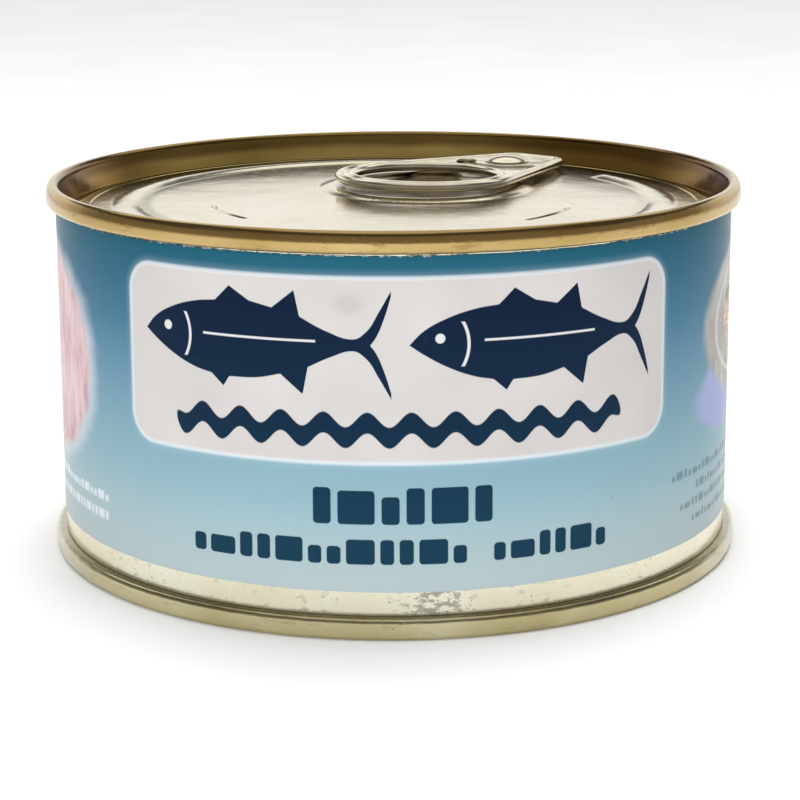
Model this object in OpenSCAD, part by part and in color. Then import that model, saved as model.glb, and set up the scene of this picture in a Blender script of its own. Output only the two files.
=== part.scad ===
// Shut tuna can: a three-piece steel can with a ring-pull end and a paper wrap label.
// Millimetres, +Z up. The origin is the centre of the ring that the can stands on.
// The label's front faces -Y.

/* [Can] */
// Height over both seams
can_h = 46.5; // [38:0.5:60]
// Radius over the seams
seam_r = 43.65; // [40:0.05:52]
// Thickness of the body wall as modelled, steel and lining
wall_t = 0.65; // [0.4:0.05:0.8]

/* [Double seams] */
// Height of a seam
seam_h = 2.6; // [2.2:0.1:3.2]
// Thickness of a seam, from its inner to its outer face
seam_t = 1.65; // [1.5:0.05:1.9]
// How far a seam stands out past the body wall
seam_step = 1.35; // [1.1:0.05:1.6]
// Rounding of a seam's crest
crest_round = 0.7; // [0.4:0.05:0.72]
// Rounding of a seam's outer lower edge
hem_round = 0.6; // [0.3:0.05:0.8]

/* [Ends] */
// Depth of the groove that runs round inside a seam, below the seam's crest
groove_depth = 4.6; // [4.2:0.1:5]
// Radius of the groove's round bottom
groove_round = 0.7; // [0.5:0.05:0.9]
// How far the wall between crest and groove leans inwards
wall_lean = 0.9; // [0.5:0.05:1.2]
// Depth of the flat panel below the seam's crest
panel_depth = 3.25; // [2.9:0.05:3.6]
// Rounding of the panel's edge
panel_round = 0.45; // [0.3:0.05:0.6]
// Steel and headspace modelled under the groove
end_floor = 0.6; // [0.4:0.1:1]

/* [Lid panel] */
// Distance from the panel's edge to the tear line
score_inset = 1.5; // [1.2:0.1:2]
// Depth of the tear line's V cut
score_depth = 0.14; // [0.08:0.02:0.2]
// Distance from the panel's edge to the middle of the stiffening bead
bead_inset = 6; // [5:0.1:7]
// Width of the stiffening bead
bead_w = 3.4; // [2:0.1:4]
// Height of the stiffening bead
bead_rise = 0.4; // [0.2:0.05:0.5]
// Radius of the flat area round the rivet where the bead stops
bead_gap_r = 12.5; // [11:0.5:14]
// Radius of the raised rim round the finger well
well_r = 12.2; // [10:0.1:13]
// Width of that rim
well_rim_w = 3.6; // [2.5:0.1:5]
// Height of that rim
well_rim_rise = 0.4; // [0.2:0.05:0.5]
// Depth of the well in its middle
well_depth = 0.75; // [0.4:0.05:0.9]
// Radius of the short curved dents beside the well
dent_r = 23; // [18:0.5:26]
// Angle that each dent covers
dent_span = 24; // [6:1:30]
// Half the width and the depth of a dent
dent_w = 0.35; // [0.2:0.05:0.5]

/* [Bottom panel] */
// Distance from the bottom panel's edge to its outer step
step_inset = 6; // [4:0.5:9]
// Distance between the bottom panel's steps
step_pitch = 5.5; // [4:0.5:7]
// Height of each step
step_rise = 0.3; // [0.2:0.05:0.35]

/* [Ring pull] */
// Where the tip of the nose lies round the lid, turned from +X towards +Y
nose_angle = 55.2; // [0:0.2:180]
// Distance from the tip of the nose to the tear line
nose_gap = 2.4; // [0.5:0.1:4]
// Direction in which the nose points, turned from +X towards +Y
tab_turn = 50; // [0:1:180]
// How far the ring stands up from level, towards its finger end
tab_tilt = 1; // [0:0.25:3]
// Outer radius of the ring
ring_r = 12; // [11:0.1:13]
// Width of the ring's band, from the finger hole to its outer edge
band_w = 2.75; // [2:0.05:3.5]
// Distance from the ring's outer edge to the rivet
rivet_gap = 5.5; // [4.5:0.1:7]
// Distance from the rivet to the tip of the nose
nose_reach = 7.6; // [7:0.1:9]
// Half the width of the nose
nose_half = 5.2; // [5:0.1:7]
// Rounding of the nose's corners
nose_round = 2.4; // [2:0.1:3]
// Thickness of the rolled edge
curl_t = 1.2; // [0.8:0.05:1.3]
// Thickness of the web inside the rolled edge
web_t = 0.6; // [0.4:0.05:0.8]
// Free height between the panel and the tip of the nose
nose_lift = 0.4; // [0.25:0.01:0.6]
// Outer radius of the crescent slot round the rivet
slot_r = 6.9; // [6:0.1:7]
// Width of the crescent slot
slot_w = 2.6; // [1:0.1:2.8]
// Angle that the crescent slot covers
slot_span = 130; // [100:5:200]

/* [Rivet] */
// Radius of the rivet's shank
shank_r = 2; // [1.6:0.1:2.4]
// Radius of the rivet's head
head_r = 3; // [2.6:0.1:3.4]
// Height of the rivet's domed head
head_rise = 0.9; // [0.4:0.05:1]
// Radius of the raised seat under the web
boss_r = 3.4; // [3:0.1:4]
// Radial clearance of the shank in the web
shank_gap = 0.05; // [0.02:0.01:0.1]

/* [Label] */
// Thickness of the paper
paper_t = 0.15; // [0.1:0.01:0.25]
// Bare steel left under the top seam
label_top_gap = 0.1; // [0.05:0.05:1]
// Bare steel left above the bottom seam
label_low_gap = 2.75; // [1:0.05:5]
// Angle covered by the glued overlap at the back
overlap_span = 11; // [6:1:20]

/* [Hidden] */
$fn = 128;
LACQUER = [0.76, 0.66, 0.44];
CREAM = [0.88, 0.84, 0.75];
BARE_STEEL = [0.80, 0.79, 0.73];
TEAL = [0.25, 0.48, 0.58];

body_r = seam_r - seam_step;
wall_in_r = body_r - wall_t;
chuck_r = seam_r - seam_t;
groove_out_r = chuck_r - wall_lean;
groove_mid_r = groove_out_r - groove_round;
panel_r = groove_out_r - 2 * groove_round;
groove_mid_z = groove_round - groove_depth;
plug_depth = groove_depth + end_floor;
panel_z = can_h - panel_depth;
label_r = body_r + paper_t;
label_low_z = seam_h + label_low_gap;
label_top_z = can_h - seam_h - label_top_gap;
curl_r = curl_t / 2;
hole_r = ring_r - band_w;
rivet_reach = ring_r + rivet_gap;
back_angle = 90;
tab_dir = [cos(tab_turn), sin(tab_turn)];
nose_tip = (panel_r - score_inset - nose_gap) * [cos(nose_angle), sin(nose_angle)];
rivet_at = nose_tip - nose_reach * tab_dir;
ring_at = rivet_at - rivet_reach * tab_dir;
web_rise = nose_lift + curl_r + nose_reach * sin(tab_tilt);
web_z = panel_z + web_rise;
// Direction, seen from a round corner of the nose, in which the tab's straight edge
// touches both that corner and the ring
edge_dx = rivet_reach + nose_reach - nose_round;
edge_dy = nose_half - nose_round;
edge_normal = atan2(edge_dy, edge_dx)
    + acos((ring_r - nose_round) / norm([edge_dx, edge_dy]));
// A cut or a boss reaches this far past the face that it meets
past = 1;
// Neighbouring parts of one section overlap by this much
lap = 0.2;
// Facets of the pull tab, which is rounded all over
CURL_SIDES = 16;
RING_SIDES = 72;
CORNER_STEPS = 6;

// Radius of the circle whose cap has this half width and this height
function cap_radius(half, rise) = (half * half + rise * rise) / (2 * rise);

// Section through half a seam. Zero height is its crest, and the can lies below.
module seam_section() {
    for (r = [seam_r - crest_round, chuck_r + crest_round])
        translate([r, -crest_round]) circle(crest_round);
    translate([seam_r - hem_round, hem_round - seam_h]) circle(hem_round);
    translate([seam_r - hem_round - lap, hem_round - seam_h])
        square([hem_round + lap, seam_h - hem_round - crest_round]);
    translate([chuck_r + crest_round, -crest_round - lap])
        square([seam_t - 2 * crest_round, crest_round + lap]);
}

// Section through the leaning wall between the seam's crest and the groove
module chuck_section() {
    polygon([
        [chuck_r, -crest_round],
        [seam_r - hem_round, -crest_round],
        [seam_r - hem_round, -seam_h],
        [wall_in_r, -seam_h],
        [wall_in_r, -plug_depth],
        [groove_out_r, -plug_depth],
        [groove_out_r, groove_mid_z]
    ]);
}

// Section through the groove's floor
module groove_section() {
    difference() {
        translate([panel_r - lap, -plug_depth])
            square([groove_out_r - panel_r + 2 * lap, plug_depth + groove_mid_z]);
        translate([groove_mid_r, groove_mid_z]) circle(groove_round);
    }
}

// Section through the flat panel, with its rounded edge
module panel_section() {
    translate([0, -plug_depth])
        square([panel_r - panel_round, plug_depth - panel_depth]);
    translate([0, -plug_depth])
        square([panel_r, plug_depth - panel_depth - panel_round]);
    translate([panel_r - panel_round, -panel_depth - panel_round]) circle(panel_round);
}

// A whole end as pressed and seamed on, with a plain panel. Zero height is the crest.
module end_blank() {
    rotate_extrude() seam_section();
    rotate_extrude() chuck_section();
    rotate_extrude() groove_section();
    rotate_extrude() panel_section();
}

// Everything inside is solid: the can is shut and full.
module can_body() {
    color(LACQUER)
        difference() {
            translate([0, 0, seam_h]) cylinder(r = body_r, h = can_h - 2 * seam_h);
            translate([0, 0, can_h - plug_depth]) cylinder(r = wall_in_r, h = plug_depth);
            cylinder(r = wall_in_r, h = plug_depth);
        }
}

// The bottom panel steps up towards its middle, so that heat can bulge it.
module bottom_end() {
    color(LACQUER)
        difference() {
            mirror([0, 0, 1]) end_blank();
            for (i = [0 : 1])
                translate([0, 0, panel_depth - past])
                    cylinder(
                        r = panel_r - step_inset - i * step_pitch,
                        h = past + (i + 1) * step_rise
                    );
        }
}

// A rounded ridge on the panel, of the given middle radius, width and height
module ridge(r, w, rise) {
    cap_r = cap_radius(w / 2, rise);
    translate([0, 0, panel_z])
        rotate_extrude()
            intersection() {
                translate([r, rise - cap_r]) circle(cap_r);
                translate([r - w, -rise]) square([2 * w, 3 * rise]);
            }
}

// The bead round the panel stops near the rivet, where the nose lies low.
module stiffening_bead() {
    difference() {
        ridge(panel_r - bead_inset, bead_w, bead_rise);
        translate([rivet_at[0], rivet_at[1], panel_z])
            cylinder(r = bead_gap_r, h = bead_rise + past);
    }
}

module tear_line() {
    translate([0, 0, panel_z])
        rotate_extrude()
            translate([panel_r - score_inset, 0])
                rotate(45) square(score_depth * sqrt(2), center = true);
}

module finger_well() {
    well_in_r = well_r - well_rim_w / 2;
    bowl_r = cap_radius(well_in_r, well_depth);
    translate([ring_at[0], ring_at[1], panel_z + bowl_r - well_depth]) sphere(bowl_r);
}

// Two short dents follow one circle, one on each side of the well.
module side_dents() {
    for (mid = [206, 327])
        translate([0, 0, panel_z])
            rotate_extrude(angle = dent_span, start = mid - dent_span / 2)
                translate([dent_r, 0]) circle(dent_w);
}

// Places a child in the tab's own frame: origin at the rivet in the web's middle,
// +X towards the nose
module in_tab_frame() {
    translate([rivet_at[0], rivet_at[1], web_z])
        rotate([0, 0, tab_turn])
            rotate([0, tab_tilt, 0])
                children();
}

// The rivet is drawn up out of the panel: a seat, a shank and a domed head.
module rivet() {
    head_ball_r = cap_radius(head_r, head_rise);
    in_tab_frame() {
        translate([0, 0, -web_rise - past])
            cylinder(r = boss_r, h = web_rise + past - web_t / 2);
        translate([0, 0, -web_rise]) cylinder(r = shank_r, h = web_rise + web_t / 2);
        translate([0, 0, web_t / 2])
            intersection() {
                translate([0, 0, head_rise - head_ball_r]) sphere(head_ball_r);
                cylinder(r = head_r + past, h = head_rise + past);
            }
    }
}

module lid() {
    color(CREAM) {
        difference() {
            union() {
                translate([0, 0, can_h]) end_blank();
                stiffening_bead();
                translate([ring_at[0], ring_at[1], 0])
                    ridge(well_r, well_rim_w, well_rim_rise);
            }
            tear_line();
            finger_well();
            side_dents();
        }
        rivet();
    }
}

// Middle line of the rolled edge: from the ring, round a corner, to the nose's middle
function edge_path() =
    let (corner = [nose_reach - nose_round, nose_half - nose_round])
    concat(
        [[-rivet_reach, 0] + (ring_r - curl_r) * [cos(edge_normal), sin(edge_normal)]],
        [for (i = [0 : CORNER_STEPS])
            let (a = edge_normal * (1 - i / CORNER_STEPS))
            corner + (nose_round - curl_r) * [cos(a), sin(a)]],
        [[nose_reach - curl_r, 0]]
    );

// The flat finger ring has both its edges rolled under.
module finger_ring() {
    translate([-rivet_reach, 0, 0])
        rotate_extrude($fn = RING_SIDES) {
            for (r = [hole_r + curl_r, ring_r - curl_r])
                translate([r, 0]) circle(curl_r, $fn = CURL_SIDES);
            translate([hole_r + curl_r, -curl_r])
                square([ring_r - hole_r - curl_t, curl_t]);
        }
}

module nose_edge() {
    path = edge_path();
    for (side = [-1, 1])
        for (i = [1 : len(path) - 1])
            hull()
                for (p = [path[i - 1], path[i]])
                    translate([p[0], side * p[1], 0])
                        rotate([0, 0, 90 * i]) sphere(curl_r, $fn = CURL_SIDES);
}

module web_outline() {
    path = edge_path();
    difference() {
        polygon(concat(
            [[-rivet_reach, 0]],
            path,
            [for (i = [len(path) - 1 : -1 : 0]) [path[i][0], -path[i][1]]]
        ));
        translate([-rivet_reach, 0]) circle(hole_r + curl_r, $fn = RING_SIDES);
        circle(shank_r + shank_gap, $fn = RING_SIDES);
        crescent_slot();
    }
}

// The slot leaves the rivet on a tongue that joins the tab at its nose side.
module crescent_slot() {
    slot_mid_r = slot_r - slot_w / 2;
    steps = 12;
    for (i = [1 : steps])
        hull()
            for (k = [i - 1, i])
                rotate(180 + slot_span * (k / steps - 0.5))
                    translate([slot_mid_r, 0]) circle(slot_w / 2, $fn = CURL_SIDES);
}

module pull_tab() {
    color(BARE_STEEL)
        in_tab_frame() {
            finger_ring();
            nose_edge();
            translate([0, 0, -web_t / 2]) linear_extrude(web_t) web_outline();
        }
}

// One sheet goes round the body, and its end is glued down over its start at the back.
module paper_label() {
    color(TEAL)
        translate([0, 0, label_low_z]) {
            rotate_extrude()
                translate([body_r, 0]) square([paper_t, label_top_z - label_low_z]);
            rotate_extrude(angle = overlap_span, start = back_angle - overlap_span / 2)
                translate([label_r - paper_t / 2, 0])
                    square([1.5 * paper_t, label_top_z - label_low_z]);
        }
}

can_body();
bottom_end();
lid();
pull_tab();
paper_label();
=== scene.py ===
"""Looks for a shut tuna can: printed wrap label, lacquered ends and a bright ring pull.

Lengths below are millimetres unless a name says otherwise; MM turns them into metres.
"""

import math

import bmesh
import bpy
from mathutils import Matrix, Vector, noise
from mathutils.geometry import delaunay_2d_cdt


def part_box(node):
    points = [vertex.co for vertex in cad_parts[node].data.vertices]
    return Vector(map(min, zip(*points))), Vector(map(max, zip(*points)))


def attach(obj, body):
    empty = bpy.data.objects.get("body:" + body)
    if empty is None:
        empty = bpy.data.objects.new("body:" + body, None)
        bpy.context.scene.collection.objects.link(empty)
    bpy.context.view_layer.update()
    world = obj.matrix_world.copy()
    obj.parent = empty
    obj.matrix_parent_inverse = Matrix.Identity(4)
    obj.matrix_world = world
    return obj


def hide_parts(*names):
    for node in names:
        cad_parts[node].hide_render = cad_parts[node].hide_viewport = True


MM = 0.001
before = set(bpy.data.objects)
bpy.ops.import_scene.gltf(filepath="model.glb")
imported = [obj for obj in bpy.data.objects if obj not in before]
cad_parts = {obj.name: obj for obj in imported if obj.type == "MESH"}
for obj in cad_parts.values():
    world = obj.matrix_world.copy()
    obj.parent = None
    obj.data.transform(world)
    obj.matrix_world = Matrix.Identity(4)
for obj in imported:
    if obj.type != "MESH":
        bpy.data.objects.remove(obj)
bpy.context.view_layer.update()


# ---------------------------------------------------------------- shader arithmetic


def rgb(red, green, blue):
    """A shader colour from the 0 to 255 numbers of a colour picker."""

    def linear(value):
        value /= 255.0
        if value <= 0.04045:
            return value / 12.92
        return ((value + 0.055) / 1.055) ** 2.4

    return (linear(red), linear(green), linear(blue), 1.0)


class Num:
    """A number in a node tree. Arithmetic on it adds Math nodes."""

    def __init__(self, graph, socket):
        self.graph = graph
        self.socket = socket

    def __add__(self, other):
        return self.graph.math("ADD", self, other)

    def __sub__(self, other):
        return self.graph.math("SUBTRACT", self, other)

    def __rsub__(self, other):
        return self.graph.math("SUBTRACT", other, self)

    def __mul__(self, other):
        return self.graph.math("MULTIPLY", self, other)

    def __truediv__(self, other):
        return self.graph.math("DIVIDE", self, other)

    def __rtruediv__(self, other):
        return self.graph.math("DIVIDE", other, self)

    def __neg__(self):
        return self.graph.math("MULTIPLY", self, -1.0)

    def __abs__(self):
        return self.graph.math("ABSOLUTE", self)


class Graph:
    """The node tree of one material or of the world, written as short calls."""

    def __init__(self, tree):
        self.tree = tree
        tree.nodes.clear()

    def add(self, kind, **settings):
        node = self.tree.nodes.new(kind)
        for key, value in settings.items():
            setattr(node, key, value)
        return node

    def feed(self, socket, value):
        if isinstance(value, Num):
            value = value.socket
        if isinstance(value, bpy.types.NodeSocket):
            self.tree.links.new(value, socket)
        else:
            socket.default_value = value

    def math(self, operation, *values):
        node = self.add("ShaderNodeMath", operation=operation)
        for socket, value in zip(node.inputs, values):
            self.feed(socket, value)
        return Num(self, node.outputs[0])

    def least(self, first, *others):
        for other in others:
            first = self.math("MINIMUM", first, other)
        return first

    def most(self, first, *others):
        for other in others:
            first = self.math("MAXIMUM", first, other)
        return first

    def length(self, a, b):
        return self.math("SQRT", a * a + b * b)

    def step(self, value, start, end, smooth=True):
        """0 at start and 1 at end, which may lie the other way round."""
        node = self.add("ShaderNodeMapRange", clamp=True)
        node.interpolation_type = "SMOOTHSTEP" if smooth else "LINEAR"
        self.feed(node.inputs["Value"], value)
        node.inputs["From Min"].default_value = start
        node.inputs["From Max"].default_value = end
        return Num(self, node.outputs["Result"])

    def band(self, value, middle, half, soft):
        """1 within half of middle, and 0 further out."""
        return self.step(abs(value - middle), half + soft, half - soft)

    def vector(self, x, y, z):
        node = self.add("ShaderNodeCombineXYZ")
        for socket, value in zip(node.inputs, (x, y, z)):
            self.feed(socket, value)
        return node.outputs[0]

    def noise(self, where, scale, detail=2.0, rough=0.5):
        node = self.add("ShaderNodeTexNoise")
        self.feed(node.inputs["Vector"], where)
        node.inputs["Scale"].default_value = scale
        node.inputs["Detail"].default_value = detail
        node.inputs["Roughness"].default_value = rough
        return Num(self, node.outputs[0])

    def blend(self, amount, under, over):
        """The second colour laid over the first by an amount from 0 to 1."""
        node = self.add("ShaderNodeMix", data_type="RGBA", blend_type="MIX")
        self.feed(node.inputs[0], amount)
        self.feed(node.inputs[6], under)
        self.feed(node.inputs[7], over)
        return node.outputs[2]

    def ramp(self, value, stops):
        node = self.add("ShaderNodeValToRGB")
        self.feed(node.inputs[0], value)
        points = node.color_ramp.elements
        while len(points) < len(stops):
            points.new(0.5)
        for point, (place, colour) in zip(points, stops):
            point.position = place
            point.color = colour
        return node.outputs[0]

    def shades(self, value, *tones):
        """Two or three close tones, mixed by a cloudy value."""
        stops = (0.3, 0.7) if len(tones) == 2 else (0.3, 0.55, 0.8)
        return self.ramp(value, [(at, rgb(*tone)) for at, tone in zip(stops, tones)])

    def place(self):
        """The point on the object, in millimetres."""
        coords = self.add("ShaderNodeTexCoord")
        scaled = self.add("ShaderNodeVectorMath", operation="SCALE")
        self.feed(scaled.inputs[0], coords.outputs["Object"])
        scaled.inputs["Scale"].default_value = 1.0 / MM
        split = self.add("ShaderNodeSeparateXYZ")
        self.feed(split.inputs[0], scaled.outputs[0])
        return scaled.outputs[0], [Num(self, out) for out in split.outputs]

    def curve(self, value, points):
        """A curve through (place, height, sharp) points, both from 0 to 1."""
        node = self.add("ShaderNodeFloatCurve")
        self.feed(node.inputs["Value"], value)
        line = node.mapping.curves[0].points
        while len(line) < len(points):
            line.new(0.5, 0.5)
        for spot, (place, height, sharp) in zip(line, points):
            spot.location = (place, height)
            spot.handle_type = "VECTOR" if sharp else "AUTO_CLAMPED"
        node.mapping.update()
        return Num(self, node.outputs[0])

    def bump(self, height, depth):
        node = self.add("ShaderNodeBump")
        node.inputs["Strength"].default_value = depth
        node.inputs["Distance"].default_value = MM
        self.feed(node.inputs["Height"], height)
        return node.outputs[0]

    # Signed distances to flat shapes: below zero inside.

    def round_box(self, u, v, mid, half, corner):
        du = abs(u - mid[0]) - (half[0] - corner)
        dv = abs(v - mid[1]) - (half[1] - corner)
        outside = self.length(self.most(du, 0.0), self.most(dv, 0.0))
        return outside + self.least(self.most(du, dv), 0.0) - corner

    def blob(self, u, v, mid, half):
        """An ellipse: roughly the distance in units of its smaller half."""
        size = min(half)
        ratio = self.length((u - mid[0]) / half[0], (v - mid[1]) / half[1])
        return (ratio - 1.0) * size


def material(name):
    """A new material with its node tree and its one shader."""
    mat = bpy.data.materials.new(name)
    mat.use_nodes = True
    graph = Graph(mat.node_tree)
    shader = graph.add("ShaderNodeBsdfPrincipled")
    output = graph.add("ShaderNodeOutputMaterial")
    graph.feed(output.inputs["Surface"], shader.outputs[0])
    return mat, graph, shader


# ---------------------------------------------------------------- sizes

lid_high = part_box("lid")[1]
label_low, label_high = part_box("paper_label")
tab_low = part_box("pull_tab")[0]

CAN_H = lid_high[2] / MM
SEAM_R = lid_high[0] / MM
SEAM_H = 2.6
LABEL_Z0 = label_low[2] / MM
LABEL_Z1 = label_high[2] / MM
BODY_R = 42.3
PAPER_T = 0.15
PRINT_R = BODY_R + PAPER_T
PANEL_DEPTH = 3.25
PANEL_Z = CAN_H - PANEL_DEPTH
PANEL_R = 39.7
PANEL_ROUND = 0.45
CHUCK_R = 42.0
CREST_ROUND = 0.7
CREST_OUT = 0.74
CREST_TALL = 1.55
HEM_ROUND = 0.6
GROOVE_R = 41.1
GROOVE_ROUND = 0.7
GROOVE_Z = -3.9
SCORE_R = 38.2
SCORE_HALF = 0.16
SCORE_DEPTH = 0.14
BEAD_R = 33.7
BEAD_HALF = 1.7
BEAD_RISE = 0.4
# The bead fades out between these distances from the rivet
BEAD_STOP = 11.6
BEAD_FULL = 14.2
WELL_R = 12.2
WELL_RIM_HALF = 1.8
WELL_RIM_RISE = 0.4
WELL_DEPTH = 0.75
DENT_R = 23.0
DENT_SPAN = 24.0
DENT_MIDS = (206.0, 327.0)
DENT_HALF = 0.38
DENT_DEPTH = 0.33
# Colour changes on the lid's panel; the cream and the last band carry painted
# reflection
TAN_FROM_R = 36.1
CREAM_FROM_R = 35.5
WALL_REFLECTION_R = 31.4
# Steps of the bottom end's panel
STEP_INSET = 6.0
STEP_PITCH = 5.5
STEP_RISE = 0.3
BOSS_R = 3.4
HEAD_R = 3.0
HEAD_RISE = 0.9

RING_R = 12.0
HOLE_R = 9.25
RIVET_REACH = 17.5
NOSE_REACH = 7.6
NOSE_HALF = 5.2
NOSE_ROUND = 2.4
CURL_T = 1.2
# Share of a half turn that a rolled edge makes before it meets the web
CURL_WRAP = 0.80
WEB_T = 0.6
SLOT_R = 6.9
SLOT_W = 2.6
SLOT_SPAN = math.radians(130)
SHANK_R = 2.0
TAB_TURN = math.radians(50)
TAB_TILT = math.radians(1)
NOSE_LIFT = 0.4
RING_AT = Vector((tab_low[0] / MM + RING_R, tab_low[1] / MM + RING_R))
TAB_DIR = Vector((math.cos(TAB_TURN), math.sin(TAB_TURN)))
RIVET_AT = RING_AT + RIVET_REACH * TAB_DIR
WEB_Z = PANEL_Z + NOSE_LIFT + CURL_T / 2 + NOSE_REACH * math.sin(TAB_TILT)


# ---------------------------------------------------------------- printed label

WHITE_MID = (0.65, 30.75)
WHITE_HALF = (34.05, 10.35)
WHITE_CORNER = 3.4
FISH_LEN = 30.4
FISH_PITCH = 32.4
FISH_V = 33.7
WAVE_LEN = 4.9
WAVE_V = 24.1
WAVE_RISE = 0.85
BACK_FIELD_U = 103.0
LINE_PITCH = 2.3
# Half outlines of a plain fish that faces left, as shares of its length
FISH_TOP = [
    (0.00, 0.000, True),
    (0.05, 0.050, False),
    (0.14, 0.098, False),
    (0.24, 0.128, False),
    (0.33, 0.140, True),
    (0.39, 0.198, True),
    (0.47, 0.148, True),
    (0.56, 0.128, True),
    (0.645, 0.196, True),
    (0.665, 0.100, True),
    (0.76, 0.052, False),
    (0.86, 0.022, False),
    (0.91, 0.050, False),
    (0.955, 0.120, False),
    (1.00, 0.200, True),
]
FISH_LOW = [
    (0.00, 0.000, True),
    (0.05, 0.034, False),
    (0.14, 0.084, False),
    (0.24, 0.122, False),
    (0.31, 0.136, True),
    (0.36, 0.180, True),
    (0.385, 0.142, True),
    (0.50, 0.136, False),
    (0.59, 0.116, True),
    (0.675, 0.188, True),
    (0.695, 0.086, True),
    (0.78, 0.046, False),
    (0.86, 0.022, False),
    (0.91, 0.050, False),
    (0.955, 0.120, False),
    (1.00, 0.200, True),
]
FISH_FORK = [
    (0.00, 0.000, True),
    (0.915, 0.000, True),
    (0.945, 0.040, False),
    (0.975, 0.110, False),
    (1.00, 0.190, True),
]


def label_print():
    """The label's ink by position: u runs round the can from its front, v upwards."""
    mat, g, shader = material("label_print")
    point, (x, y, z) = g.place()
    u = g.math("ARCTAN2", x, -y) * PRINT_R
    v = z
    print_at = g.vector(u, v, 0.0)

    # Deep teal at the top fades to pale grey-blue at the foot.
    height = g.step(v, LABEL_Z0, LABEL_Z1, smooth=False)
    colour = g.ramp(
        height,
        [
            (0.02, rgb(177, 193, 196)),
            (0.17, rgb(160, 186, 193)),
            (0.27, rgb(144, 177, 188)),
            (0.37, rgb(133, 169, 182)),
            (0.50, rgb(115, 154, 174)),
            (0.62, rgb(94, 138, 162)),
            (0.74, rgb(68, 118, 144)),
            (0.87, rgb(47, 102, 128)),
            (0.98, rgb(26, 91, 114)),
        ],
    )

    def lay(mask, ink):
        nonlocal colour
        colour = g.blend(mask, colour, ink)

    def words(start, end, count, mid, tall, gap, ink, corner=0.45, soft=0.06):
        """A row of heavy plain blocks of mixed widths, as long as a line of print."""
        pitch = (end - start) / count
        cell = (u - start) / pitch
        uneven = cell + g.math("SINE", cell * 2.1) * 0.2
        stretch = g.math("COSINE", cell * 2.1) * 0.42 + 1.0
        local = (g.math("FRACT", uneven) - 0.5) * pitch / stretch
        block = g.math("FLOOR", uneven)
        dice = g.math("FRACT", g.math("SINE", block * 12.99 + mid) * 437.0)
        drop = g.step(abs(dice), 0.55, 0.6) * tall * 0.14
        shape = g.round_box(
            local,
            v,
            (0.0, mid - drop),
            (pitch / stretch / 2 - gap / 2, tall / 2 - drop),
            corner,
        )
        shape = g.most(shape, start - u, u - end)
        lay(g.step(shape, soft, -soft), ink)

    # Left picture: a soft pink field with a pale feathered rim.
    wobble = (g.noise(print_at, 0.16, 3.0) - 0.5) * 3.0
    pink = g.blob(u, v, (-63.0, 26.5), (20.6, 14.0)) + wobble
    lay(g.step(pink, 2.0, -0.4) * 0.5, rgb(226, 228, 236))
    grain = g.noise(g.vector(u * 0.9, v * 0.28, 4.0), 0.55, 4.0, 0.6)
    flesh = g.ramp(
        grain,
        [
            (0.30, rgb(190, 150, 155)),
            (0.48, rgb(214, 182, 186)),
            (0.70, rgb(228, 208, 210)),
        ],
    )
    lay(g.step(pink, 0.2, -1.4), flesh)

    # Right picture: pale flakes and greens in a grey dish, over a lavender patch.
    dish = g.blob(u, v, (64.0, 30.0), (19.0, 9.6)) + wobble * 0.15
    glaze = g.noise(g.vector(u * 0.5, v * 0.3, 9.0), 0.5, 3.0)
    shade = g.shades(glaze, (150, 148, 142), (178, 176, 170), (216, 214, 210))
    patch = g.blob(u, v, (57.0, 22.0), (13.5, 5.2)) + wobble * 0.6
    lay(g.step(patch, 0.8, -0.8), rgb(160, 170, 214))
    lay(g.step(dish, 0.8, -0.8), shade)
    lay(g.band(dish, -2.1, 0.22, 0.3) * 0.7, rgb(226, 225, 222))
    flakes = g.blob(u, v, (66.0, 30.4), (12.6, 5.6)) + wobble * 0.5
    flake = g.ramp(
        g.noise(g.vector(u * 0.5, v * 1.3, 2.0), 0.7, 4.0, 0.65),
        [
            (0.32, rgb(170, 124, 108)),
            (0.50, rgb(208, 170, 150)),
            (0.68, rgb(232, 210, 194)),
        ],
    )
    lay(g.step(flakes, 0.35, -0.35), flake)
    leaf = g.blob(u + v * 0.5, v, (90.5, 34.4), (3.4, 1.0)) + wobble * 0.2
    stalk = g.blob(u - v * 0.6, v, (37.0, 33.2), (3.0, 0.9)) + wobble * 0.2
    lay(g.step(g.least(leaf, stalk), 0.25, -0.25), rgb(92, 132, 70))

    # White rounded panel with a faint pale edge.
    panel = g.round_box(u, v, WHITE_MID, WHITE_HALF, WHITE_CORNER)
    lay(g.step(panel, 1.3, 0.0) * 0.18, rgb(190, 214, 226))
    tone = g.noise(print_at, 0.08, 2.0)
    lay(
        g.step(panel, 0.12, -0.12),
        g.ramp(tone, [(0.35, rgb(199, 196, 195)), (0.7, rgb(207, 204, 203))]),
    )
    lay(g.band(panel, 0.1, 0.2, 0.2) * 0.6, rgb(238, 242, 246))

    # Two plain fish, nose to tail, fill the panel's headline.
    navy = g.ramp(
        height,
        [(0.2, rgb(14, 56, 78)), (0.5, rgb(4, 38, 62)), (0.85, rgb(0, 24, 52))],
    )
    mid_u = WHITE_MID[0]
    fold = u - mid_u
    side = g.math("SIGN", fold)
    along = (abs(fold) * side - side * (FISH_PITCH / 2)) / FISH_LEN + 0.5
    up = (v - FISH_V) / FISH_LEN
    top = g.curve(along, FISH_TOP)
    low = g.curve(along, FISH_LOW)
    fork = g.curve(along, FISH_FORK)
    fish = g.most(up - top, -up - low, fork - 0.012 - abs(up))
    fish = g.most(fish, -along, along - 1.0) * FISH_LEN
    lay(g.step(fish, 0.07, -0.07), navy)
    fx = along * FISH_LEN
    fy = up * FISH_LEN
    eye = g.length(fx - 3.4, fy - 0.7) - 0.55
    gill = g.most(abs(g.length(fx - 1.6, fy) - 5.0) - 0.17, 5.2 - fx, abs(fy) - 2.5)
    flank = g.most(abs(fy - 0.35) - 0.13, abs(fx - 15.2) - 6.8)
    lay(g.step(g.least(eye, gill, flank), 0.07, -0.07), rgb(214, 214, 216))

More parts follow.
